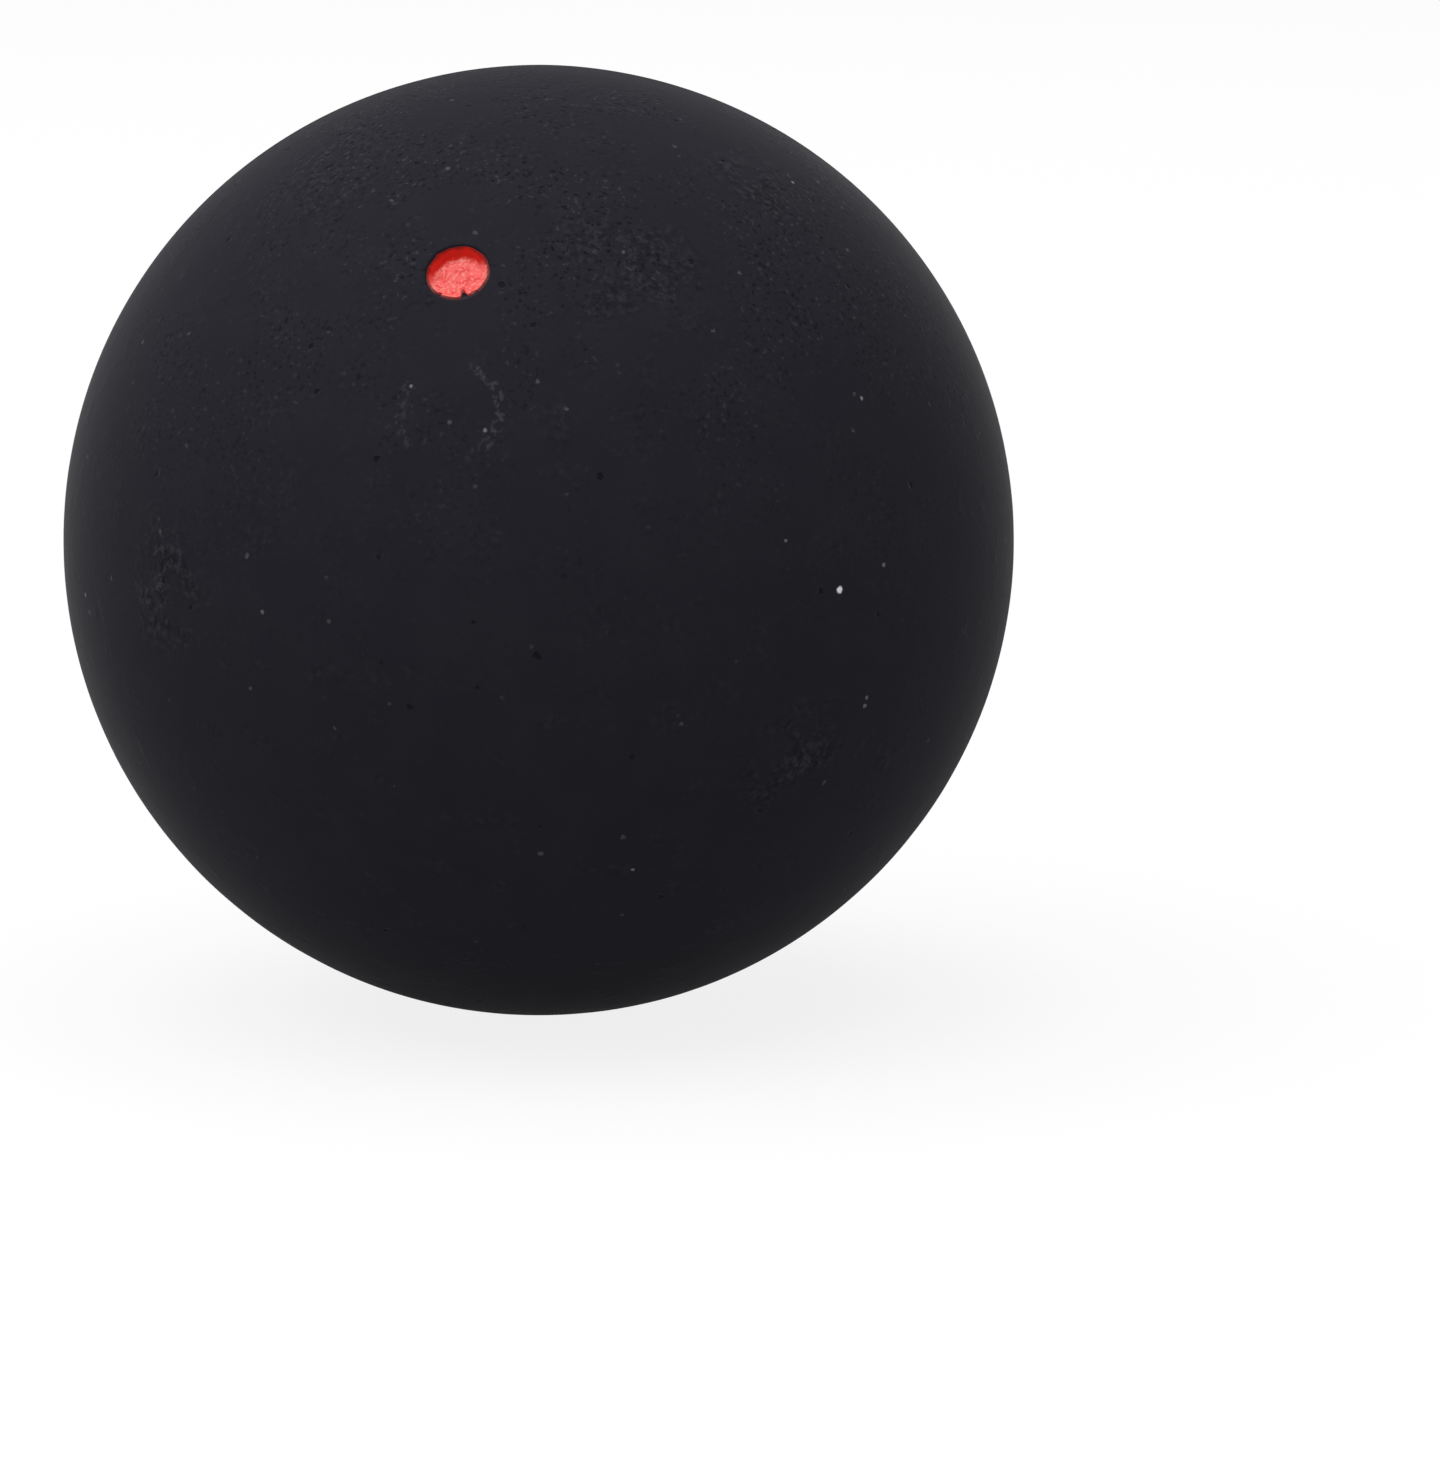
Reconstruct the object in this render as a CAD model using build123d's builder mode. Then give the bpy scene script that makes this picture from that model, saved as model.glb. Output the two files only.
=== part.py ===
from build123d import *
import os
from math import asin, atan2, cos, degrees, radians, sin, sqrt, tan

# Squash ball: two moulded rubber half shells cemented into a hollow ball. The halves meet at a butt
# seam in the XZ plane, the front half towards -Y. Cured cement fills the seam, red paint lines the
# dot recess of the front half, and two plain white stripes are printed on the back. The origin is
# the centre of the ball, with +Z up. Lengths are in millimetres, angles in degrees.

# Ball and wall
ball_diameter = 40.0
wall_thickness = 5.2

# Cemented seam
bond_thickness = 0.2  # cured cement between the two flat rims
outer_bevel = 0.12  # broken corner of each rim on the outside, filled flush with cement
inner_bevel = 0.6  # bevelled corner of each rim on the inside, which the cement keys into
bead_height = 0.35  # how far the squeezed-out cement stands into the air chamber

# Speed dot: a dished recess with a flat floor, and the paint in it
dot_diameter = 2.7
dot_floor_diameter = 1.8
dot_depth = 0.45  # from the mouth's rim down to the floor
dot_corner_radius = 0.25  # between floor and sloping wall
dot_lip_radius = 0.1  # rounded edge of the mouth
dot_lift = 40.0  # the dot's axis above the level plane
dot_turn = 12.0  # the dot's axis round from the front, towards -X
paint_thickness = 0.1
paint_margin = 0.03  # bare wall between the paint's edge and the rounded lip

# Printed mark: two plain stripes across the back
stripe_span = 29.0  # straight across, from end to end
stripe_height = 1.0
stripe_pitch = 2.4  # from the middle of one stripe to the middle of the other
ink_thickness = 0.03

ball_radius = ball_diameter / 2
chamber_radius = ball_radius - wall_thickness

# Seam section, in distances from the seam's axis (Y) and from its middle plane
rim_offset = bond_thickness / 2
outer_corner_offset = rim_offset + outer_bevel
inner_corner_offset = rim_offset + inner_bevel
outer_corner_radius = sqrt(ball_radius**2 - outer_corner_offset**2)
inner_corner_radius = sqrt(chamber_radius**2 - inner_corner_offset**2)
rim_outer_radius = outer_corner_radius - outer_bevel
rim_inner_radius = inner_corner_radius + inner_bevel

# Dot section, in distances from the dot's axis and along it from the centre of the ball
dot_radius = dot_diameter / 2
dot_floor_radius = dot_floor_diameter / 2
mouth_height = sqrt(ball_radius**2 - dot_radius**2)
floor_height = mouth_height - dot_depth
wall_slope = degrees(atan2(dot_depth, dot_radius - dot_floor_radius))
lip_turn = wall_slope + degrees(asin(dot_radius / ball_radius))
lip_length = dot_lip_radius * tan(radians(lip_turn / 2))
cutter_rise = 2 * dot_depth  # the recess's sloping wall is drawn on past the mouth, into the open

dot_direction = Vector(0, 0, 1).rotate(Axis.X, 90 - dot_lift).rotate(Axis.Z, -dot_turn)
dot_axis = Axis((0, 0, 0), dot_direction)
dot_across = Vector(0, 0, 1).cross(dot_direction).normalized()
dot_section = Plane(origin=(0, 0, 0), x_dir=dot_across, z_dir=dot_across.cross(dot_direction))


def wall_point(rise: float, inset: float = 0.0) -> tuple[float, float]:
    """Point of the recess section at a rise above the floor, set in from the sloping wall."""
    slope = radians(wall_slope)
    from_axis = dot_floor_radius + rise / tan(slope) - inset * sin(slope)
    return from_axis, floor_height + rise + inset * cos(slope)


def half_section(side: int) -> Sketch:
    """Section of one half shell, to be turned about Y; side is -1 in front and 1 behind."""
    outer_corner = (outer_corner_radius, side * outer_corner_offset)
    inner_corner = (inner_corner_radius, side * inner_corner_offset)
    outer_angle = side * degrees(asin(outer_corner_offset / ball_radius))
    inner_angle = side * degrees(asin(inner_corner_offset / chamber_radius))
    with BuildSketch(Plane.XY) as section:
        with BuildLine():
            CenterArc((0, 0), ball_radius, outer_angle, side * 90 - outer_angle)
            Polyline(
                outer_corner,
                (rim_outer_radius, side * rim_offset),
                (rim_inner_radius, side * rim_offset),
                inner_corner,
            )
            CenterArc((0, 0), chamber_radius, inner_angle, side * 90 - inner_angle)
            Line((0, side * chamber_radius), (0, side * ball_radius))
        make_face()
    return section.sketch


# Front half shell, with the dot recess sunk into it and the mouth's edge rounded
with BuildPart() as front_half_shell:
    revolve(half_section(-1), axis=Axis.Y)
    with BuildSketch(dot_section):
        with BuildLine():
            recess = FilletPolyline(
                (0, floor_height),
                (dot_floor_radius, floor_height),
                wall_point(cutter_rise),
                radius=dot_corner_radius,
            )
            Polyline(recess @ 1, (0, (recess @ 1).Y), recess @ 0)
        make_face()
    revolve(axis=dot_axis, mode=Mode.SUBTRACT)
    new_circles = front_half_shell.edges(Select.LAST).filter_by(GeomType.CIRCLE)
    mouth = new_circles.sort_by(lambda edge: edge.radius)[-1]
    fillet(mouth, radius=dot_lip_radius)

# Rear half shell
with BuildPart() as rear_half_shell:
    revolve(half_section(1), axis=Axis.Y)

# Seam bond: a thin cement ring that fills both bevels and beads into the air chamber
with BuildPart() as seam_bond:
    with BuildSketch(Plane.XY):
        with BuildLine():
            front_run = Polyline(
                (outer_corner_radius, -outer_corner_offset),
                (rim_outer_radius, -rim_offset),
                (rim_inner_radius, -rim_offset),
                (inner_corner_radius, -inner_corner_offset),
            )
            ThreePointArc(
                front_run @ 1,
                (chamber_radius - bead_height, 0),
                (inner_corner_radius, inner_corner_offset),
            )
            mirror(front_run, about=Plane.XZ)
            ThreePointArc(
                (outer_corner_radius, outer_corner_offset),
                (ball_radius, 0),
                front_run @ 0,
            )
        make_face()
    revolve(axis=Axis.Y)

# Dot paint: an even film on the recess's floor and wall, which ends below the rounded lip
with BuildPart() as dot_paint:
    with BuildSketch(dot_section):
        with BuildLine():
            edge_rise = dot_depth - (lip_length + paint_margin) * sin(radians(wall_slope))
            underside = FilletPolyline(
                (0, floor_height),
                (dot_floor_radius, floor_height),
                wall_point(edge_rise),
                radius=dot_corner_radius,
            )
            corner_inset = paint_thickness * tan(radians(wall_slope / 2))
            surface = FilletPolyline(
                (0, floor_height + paint_thickness),
                (dot_floor_radius - corner_inset, floor_height + paint_thickness),
                wall_point(edge_rise, paint_thickness),
                radius=dot_corner_radius - paint_thickness,
            )
            Line(underside @ 0, surface @ 0)
            Line(underside @ 1, surface @ 1)
        make_face()
    revolve(axis=dot_axis)

# Print stripes: two bars of ink film that follow the back of the ball
with BuildPart() as print_stripes:
    with BuildSketch(Plane.XZ):
        with GridLocations(0, stripe_pitch, 1, 2):
            SlotOverall(stripe_span, stripe_height)
    extrude(amount=-ball_diameter)
    Sphere(ball_radius + ink_thickness, mode=Mode.INTERSECT)
    Sphere(ball_radius, mode=Mode.SUBTRACT)

pieces = {
    "front_half_shell": front_half_shell,
    "rear_half_shell": rear_half_shell,
    "seam_bond": seam_bond,
    "dot_paint": dot_paint,
    "print_stripes": print_stripes,
}
os.makedirs("parts", exist_ok=True)
for name, piece in pieces.items():
    piece.part.label = name
    export_step(piece.part, f"parts/{name}.step")
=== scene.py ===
"""Looks of a hollow rubber squash ball: two half shells, their seam, a painted dot and a print.

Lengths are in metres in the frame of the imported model: the ball's centre is the origin, +Z is up,
the dotted half faces -Y and the printed half +Y. Values named in millimetres carry the factor MM.
Finishes measure their patterns in millimetres, and angles are in radians.
"""

import functools
import itertools
import logging
import math
from collections.abc import Mapping, Sequence
from dataclasses import dataclass
from enum import Enum
from typing import Union

import bmesh
import bpy
import numpy as np
from mathutils import Matrix, Vector


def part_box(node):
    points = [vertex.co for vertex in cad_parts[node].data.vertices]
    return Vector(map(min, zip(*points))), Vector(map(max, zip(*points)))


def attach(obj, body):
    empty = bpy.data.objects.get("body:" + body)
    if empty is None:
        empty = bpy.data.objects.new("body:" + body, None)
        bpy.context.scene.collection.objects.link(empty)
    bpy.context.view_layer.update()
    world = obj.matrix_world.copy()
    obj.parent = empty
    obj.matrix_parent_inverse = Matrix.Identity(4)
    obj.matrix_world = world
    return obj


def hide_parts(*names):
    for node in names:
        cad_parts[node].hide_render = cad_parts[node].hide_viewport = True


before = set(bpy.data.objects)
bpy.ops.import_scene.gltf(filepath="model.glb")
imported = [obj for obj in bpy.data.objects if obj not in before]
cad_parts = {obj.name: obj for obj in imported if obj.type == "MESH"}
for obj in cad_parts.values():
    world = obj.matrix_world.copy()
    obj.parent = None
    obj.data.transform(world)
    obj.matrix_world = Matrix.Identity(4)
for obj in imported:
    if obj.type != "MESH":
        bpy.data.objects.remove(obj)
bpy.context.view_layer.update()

MM = 0.001
BODY = "root"
X_AXIS, Y_AXIS, Z_AXIS = np.eye(3)

log = logging.getLogger("squash_ball")


class Half(Enum):
    """The two half shells, each with the sign of the Y side that it fills."""

    FRONT = -1
    REAR = 1


class Slot(Enum):
    """Material slots of the record that the pieces take their finish from."""

    RUBBER = "black_rubber"
    CEMENT = "rubber_cement"
    PAINT = "red_paint"
    INK = "white_ink"


Number = Union[int, float]
Colour = tuple[float, float, float]
Point = tuple[float, float, float]
Span = tuple[float, float]
Axes = tuple[np.ndarray, np.ndarray, np.ndarray]
SocketInput = Union["Value", Number, Sequence[float]]

WHITE: Colour = (1.0, 1.0, 1.0)


# Shader expressions


class Value:
    """An output socket of a shader tree, with arithmetic that adds Math nodes."""

    def __init__(self, shader: "Shader", socket: bpy.types.NodeSocket) -> None:
        """Keep the tree and the socket that later sums start from."""
        self.shader = shader
        self.socket = socket

    def math(self, operation: str, *others: SocketInput) -> "Value":
        """Add one Math node on this value.

        Args:
            operation: the Math node's operation.
            others: the values or numbers of its further inputs.

        Returns:
            The node's result.
        """
        inputs = dict(enumerate((self, *others)))
        return self.shader.node("ShaderNodeMath", {"operation": operation}, inputs)

    def __add__(self, other: SocketInput) -> "Value":
        """Sum of this value and another."""
        return self.math("ADD", other)

    __radd__ = __add__

    def __mul__(self, other: SocketInput) -> "Value":
        """Product of this value and another."""
        return self.math("MULTIPLY", other)

    __rmul__ = __mul__

    def __sub__(self, other: SocketInput) -> "Value":
        """This value less another."""
        return self.math("SUBTRACT", other)

    def __rsub__(self, other: Number) -> "Value":
        """A number less this value."""
        return self.shader.node("ShaderNodeMath", {"operation": "SUBTRACT"}, {0: other, 1: self})

    def maximum(self, other: SocketInput) -> "Value":
        """The greater of this value and another."""
        return self.math("MAXIMUM", other)

    def between(self, low: Number, high: Number) -> "Value":
        """A value that goes evenly from low to high as this one goes from 0 to 1."""
        return self * (high - low) + low

    def ramp(self, start: Number, end: Number) -> "Value":
        """Smooth step from 0 at start to 1 at end, which may lie below start.

        Args:
            start: the value that gives 0.
            end: the value that gives 1.

        Returns:
            The stepped value.
        """
        low, high = sorted((start, end))
        settings = {"interpolation_type": "SMOOTHSTEP", "clamp": True}
        inputs = {"Value": self, "From Min": low, "From Max": high}
        step = self.shader.node("ShaderNodeMapRange", settings, inputs)
        return step if start < end else 1 - step


@dataclass(frozen=True)
class Grain:
    """One layer of shader noise."""

    size: float  # the length of one lump, in millimetres
    detail: float = 2.0  # how many finer layers are added
    roughness: float = 0.5  # how strong each finer layer is
    depth: float = 0.0  # the bump from its lows to its highs, in millimetres


@dataclass(frozen=True)
class Spots:
    """Small spots strewn over a surface, one to a cell, of which only some show."""

    spacing: float  # the mean distance between neighbours, in millimetres
    radius: float  # where a spot ends, in millimetres
    core: float  # the radius inside which it is at full strength
    luck: Span  # the random number at which a spot starts to show, and at which it shows fully
    depth: float = 0.0  # how far a spot is sunk, in millimetres


class Shader:
    """A material's node tree, empty but for its output."""

    BUMP_STRENGTH = 0.9

    def __init__(self, tree: bpy.types.NodeTree, output_kind: str) -> None:
        """Empty the tree and give it its output node."""
        self.tree = tree
        self.tree.nodes.clear()
        self.output = self.tree.nodes.new(output_kind)

    def make(
        self,
        kind: str,
        settings: Mapping[str, object] = {},
        sockets: Mapping[Union[str, int], SocketInput] = {},
    ) -> bpy.types.Node:
        """Add a node.

        Args:
            kind: the node's type.
            settings: its properties, set before its sockets.
            sockets: the value or link of each input, by name or place.

        Returns:
            The new node.
        """
        node = self.tree.nodes.new(kind)
        for name, setting in settings.items():
            setattr(node, name, setting)
        for key, value in sockets.items():
            if isinstance(value, Value):
                self.tree.links.new(value.socket, node.inputs[key])
            else:
                node.inputs[key].default_value = value
        return node

    def node(
        self,
        kind: str,
        settings: Mapping[str, object] = {},
        sockets: Mapping[Union[str, int], SocketInput] = {},
        output: Union[str, int] = 0,
    ) -> Value:
        """Add a node as make does, and return one of its outputs as a value."""
        return Value(self, self.make(kind, settings, sockets).outputs[output])

    def vector(self, operation: str, inputs: Mapping[Union[str, int], SocketInput], output: str) -> Value:
        """Add one Vector Math node, and return one of its outputs as a value."""
        return self.node("ShaderNodeVectorMath", {"operation": operation}, inputs, output)

    def millimetres(self) -> Value:
        """Object coordinates, in millimetres."""
        place = self.node("ShaderNodeTexCoord", output="Object")
        return self.vector("SCALE", {0: place, "Scale": 1 / MM}, "Vector")

    def noise(self, place: Value, grain: Grain) -> Value:
        """Noise from 0 to 1, read at some coordinates in millimetres."""
        inputs = {
            "Vector": place,
            "Scale": 1 / grain.size,
            "Detail": grain.detail,
            "Roughness": grain.roughness,
        }
        return self.node("ShaderNodeTexNoise", {}, inputs, "Fac")

    def strewn(self, place: Value, spots: Spots, uneven: SocketInput = 0.0) -> Value:
        """Mask of strewn spots.

        Args:
            place: the coordinates that they are strewn in, in millimetres.
            spots: their sizes.
            uneven: what is added to the distance from a spot's middle, to break up its outline.

        Returns:
            1 in the spots that show fully, and 0 between spots.
        """
        inputs = {"Vector": place, "Scale": 1 / spots.spacing, "Randomness": 1.0}
        cells = self.make("ShaderNodeTexVoronoi", {"feature": "F1"}, inputs)
        luck = self.node("ShaderNodeSeparateColor", {}, {0: Value(self, cells.outputs["Color"])})
        gap = Value(self, cells.outputs["Distance"]) * spots.spacing + uneven
        return gap.ramp(spots.radius, spots.core) * luck.ramp(*spots.luck)

    def distance(self, place: Value, point: SocketInput) -> Value:
        """Distance from the coordinates to a fixed point."""
        return self.vector("DISTANCE", {0: place, 1: point}, "Value")

    def along(self, place: Value, start: SocketInput, direction: SocketInput) -> Value:
        """How far the coordinates lie from a start along a direction."""
        offset = self.vector("SUBTRACT", {0: place, 1: start}, "Vector")
        return self.vector("DOT_PRODUCT", {0: offset, 1: direction}, "Value")

    def mix(self, factor: SocketInput, first: SocketInput, second: SocketInput) -> Value:
        """Colour that goes from the first to the second as the factor goes from 0 to 1."""
        settings = {"data_type": "RGBA", "clamp_factor": True}
        return self.node("ShaderNodeMix", settings, {0: factor, 6: first, 7: second}, 2)

    def bump(self, height: Value) -> Value:
        """Normal of a surface with a height over its mesh that is given in millimetres."""
        inputs = {"Strength": self.BUMP_STRENGTH, "Distance": MM, "Height": height}
        return self.node("ShaderNodeBump", {}, inputs)

    def end_with(self, surface: Value) -> None:
        """Make a shader the tree's surface."""
        self.tree.links.new(surface.socket, self.output.inputs["Surface"])

    def principled(self, sockets: Mapping[str, SocketInput]) -> None:
        """Finish a surface with one Principled BSDF."""
        self.end_with(self.node("ShaderNodeBsdfPrincipled", {}, sockets))


def opaque(colour: Sequence[float]) -> tuple[float, float, float, float]:
    """Colour with an alpha of 1."""
    red, green, blue = colour
    return red, green, blue, 1.0


def new_shader(name: str) -> tuple[bpy.types.Material, Shader]:
    """New material and the shader that dresses it."""
    material = bpy.data.materials.new(name)
    material.use_nodes = True
    return material, Shader(material.node_tree, "ShaderNodeOutputMaterial")


# Meshes


@dataclass(frozen=True)
class LumpField:
    """Smooth random field: seeded values on a cubic lattice, eased into each other between its points."""

    size: float  # the lattice's pitch
    seed: int
    period: int = 48  # how many pitches it takes to repeat

    def at(self, points: np.ndarray) -> np.ndarray:
        """Field at some points.

        Args:
            points: coordinates, with the three axes last.

        Returns:
            Values from 0 to 1, each the mean of the 8 lattice corners round its point, weighted by
            the product over the axes of 3f^2 - 2f^3, where f is the nearness to that corner.
        """
        table = np.random.default_rng(self.seed).random((self.period,) * 3)
        scaled = points / self.size
        cell = np.floor(scaled).astype(int)
        share = scaled - cell
        share = share * share * (3 - 2 * share)
        total = np.zeros(points.shape[:-1])
        for corner in itertools.product((0, 1), repeat=3):
            weight = np.prod(np.where(np.array(corner) == 1, share, 1 - share), axis=-1)
            x, y, z = np.moveaxis((cell + corner) % self.period, -1, 0)
            total += weight * table[x, y, z]
        return total


def smooth_step(values: np.ndarray, start: float, end: float) -> np.ndarray:
    """Smooth step 3t^2 - 2t^3, where t goes from 0 at start to 1 at end."""
    share = np.clip((values - start) / (end - start), 0.0, 1.0)
    return share * share * (3 - 2 * share)


def round_angles(columns: int) -> np.ndarray:
    """Even angles once round, without the last, which is the first again."""
    return np.linspace(0.0, 2 * np.pi, columns, endpoint=False)


def spokes(across: np.ndarray, up: np.ndarray, columns: int) -> np.ndarray:
    """Even unit directions round an axis: cos a times across plus sin a times up."""
    angles = round_angles(columns)
    return np.cos(angles)[:, None] * across + np.sin(angles)[:, None] * up


def ring_faces(rows: int, columns: int, looped: bool) -> np.ndarray:
    """Quads between neighbouring rings of points.

    Args:
        rows: how many rings there are.
        columns: how many points each ring has.
        looped: whether the last ring joins back to the first.

    Returns:
        Four point numbers for each quad.
    """
    last = rows if looped else rows - 1
    row, column = np.meshgrid(np.arange(last), np.arange(columns), indexing="ij")
    next_row = (row + 1) % rows
    next_column = (column + 1) % columns
    corners = (
        row * columns + column,
        next_row * columns + column,
        next_row * columns + next_column,
        row * columns + next_column,
    )
    return np.stack(corners, axis=-1).reshape(-1, 4)


@dataclass
class RingSurface:
    """Closed surface of rings of points, with a pole at each end or its last ring joined to its first."""

    rings: np.ndarray  # coordinates, by ring, place in the ring and axis
    poles: tuple[np.ndarray, ...] = ()  # the end points before and after the rings, none if looped

    def points(self) -> np.ndarray:
        """All points, ring after ring, with the poles last."""
        flat = self.rings.reshape(-1, 3)
        return np.vstack([flat, *[pole[None, :] for pole in self.poles]])

    def faces(self) -> list[list[int]]:
        """Quads between the rings and fans at the poles, turned to face outwards."""
        rows, columns, _ = self.rings.shape
        quads = ring_faces(rows, columns, looped=not self.poles)
        fans = np.zeros((0, 3), dtype=int)
        if self.poles:
            here = np.arange(columns)
            beside = (here + 1) % columns
            start = np.full(columns, rows * columns)
            last_row = (rows - 1) * columns
            near = np.stack((start, here, beside), axis=-1)
            far = np.stack((start + 1, last_row + beside, last_row + here), axis=-1)
            fans = np.vstack((near, far))
        triangles = np.vstack((quads[:, [0, 1, 2]], quads[:, [0, 2, 3]], fans))
        a, b, c = np.moveaxis(self.points()[triangles], 1, 0)
        if np.sum(a * np.cross(b, c)) < 0:
            quads, fans = quads[:, ::-1], fans[:, ::-1]
        return quads.tolist() + fans.tolist()

    def mesh(self, name: str, sharp_angle: float) -> bpy.types.Mesh:
        """Blender mesh of the surface.

        Args:
            name: the mesh's name.
            sharp_angle: the angle past which an edge is shaded sharp.

        Returns:
            The mesh, shaded smooth elsewhere.
        """
        mesh = bpy.data.meshes.new(name)
        mesh.from_pydata(self.points().tolist(), [], self.faces())
        mesh.shade_smooth()
        mesh.set_sharp_from_angle(angle=sharp_angle)
        return mesh


def joined(meshes: Sequence[bpy.types.Mesh], name: str) -> bpy.types.Mesh:
    """One mesh of several, which keep their own points and shading."""
    whole = bmesh.new()
    for mesh in meshes:
        whole.from_mesh(mesh)
        bpy.data.meshes.remove(mesh)
    result = bpy.data.meshes.new(name)
    whole.to_mesh(result)
    whole.free()
    return result


def add_piece(name: str, mesh: bpy.types.Mesh, material: bpy.types.Material, node: str) -> None:
    """Put a finished piece into the scene in place of its CAD node.

    Args:
        name: the piece's name.
        mesh: its mesh, in the model's frame.
        material: its finish.
        node: the CAD node that it stands for.
    """
    mesh.materials.append(material)
    piece = bpy.data.objects.new(name, mesh)
    bpy.context.scene.collection.objects.link(piece)
    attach(piece, BODY)
    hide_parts(node)
    triangles = sum(len(polygon.vertices) - 2 for polygon in mesh.polygons)
    log.info("%s stands for %s: %d triangles", name, node, triangles)


# Camera and the places that are read from the photograph


@dataclass(frozen=True)
class PhotoCamera:
    """Camera that shows the ball where the photograph does."""

    ball_radius: float
    image_size: tuple[int, int] = (1440, 1463)  # of the photograph, in pixels
    ball_pixel: Span = (539.7, 541.4)  # the ball's centre in the photograph
    ball_radius_pixels: float = 475.0  # the ball's radius in the photograph
    elevation: float = math.radians(8.0)  # how far the line of sight to the ball looks down
    lens: float = 150.0  # the focal length, in millimetres as the sensor is
    sensor_height: float = 36.0
    clip_start: float = 0.01

    def focal_pixels(self) -> float:
        """Focal length in pixels."""
        return self.lens / self.sensor_height * self.image_size[1]

    def distance(self) -> float:
        """Distance to the ball's centre at which its outline has the right radius."""
        return self.ball_radius / math.sin(math.atan(self.ball_radius_pixels / self.focal_pixels()))

    def slopes(self, pixel: Sequence[float]) -> Span:
        """How far a pixel's ray goes right and up for each unit forwards."""
        width, height = self.image_size
        return (pixel[0] - width / 2) / self.focal_pixels(), (height / 2 - pixel[1]) / self.focal_pixels()

    def origin(self) -> np.ndarray:
        """Where the camera stands: straight in front of the ball, raised by the elevation."""
        return self.distance() * np.array((0.0, -math.cos(self.elevation), math.sin(self.elevation)))

    def axes(self) -> Axes:
        """Directions to the right, up and forwards.

        The camera is level and turned until the ball's centre falls on its pixel: with turn t to
        the right and drop e, the ray's slope to the right is -tan t, seen from above and drawn out
        by the drop, and its slope upwards is tan(e - e0), where e0 is the drop of the ball itself.
        """
        right_slope, up_slope = self.slopes(self.ball_pixel)
        reach = math.hypot(1.0, right_slope, up_slope)
        turn = math.asin(-right_slope / reach / math.cos(self.elevation))
        ball_drop = math.atan(math.tan(self.elevation) / math.cos(turn))
        drop = ball_drop + math.atan(up_slope)
        right = np.array((math.cos(turn), -math.sin(turn), 0.0))
        level = np.array((math.sin(turn), math.cos(turn), 0.0))
        forward = math.cos(drop) * level - math.sin(drop) * Z_AXIS
        return right, np.cross(right, forward), forward

    def on_ball(self, pixel: Sequence[float]) -> np.ndarray:
        """Point of the ball that a pixel of the photograph shows.

        Args:
            pixel: the pixel's place, inside the ball's outline.

        Returns:
            The nearer point where the pixel's ray meets the ball's sphere.
        """
        right_slope, up_slope = self.slopes(pixel)
        right, up, forward = self.axes()
        ray = right * right_slope + up * up_slope + forward
        ray = ray / np.linalg.norm(ray)
        start = self.origin()
        along = -start @ ray
        gap_squared = start @ start - along**2
        return start + ray * (along - math.sqrt(self.ball_radius**2 - gap_squared))

    def build(self) -> None:
        """Add the camera to the scene and look through it."""
        data = bpy.data.cameras.new("photo_camera")
        data.lens = self.lens
        data.sensor_fit = "VERTICAL"
        data.sensor_height = self.sensor_height
        data.clip_start = self.clip_start
        camera = bpy.data.objects.new("photo_camera", data)
        right, up, forward = self.axes()
        turned = np.eye(4)
        turned[:3, :3] = np.stack((right, up, -forward), axis=-1)
        turned[:3, 3] = self.origin()
        camera.matrix_world = Matrix(turned.tolist())
        bpy.context.scene.collection.objects.link(camera)
        bpy.context.scene.camera = camera


@dataclass(frozen=True)
class Mark:
    """A small mark on the rubber, placed by the pixel of the photograph that shows it."""

    pixel: Span
    radius: float  # in millimetres
    strength: float  # from 0 to 1


# Finishes


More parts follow.
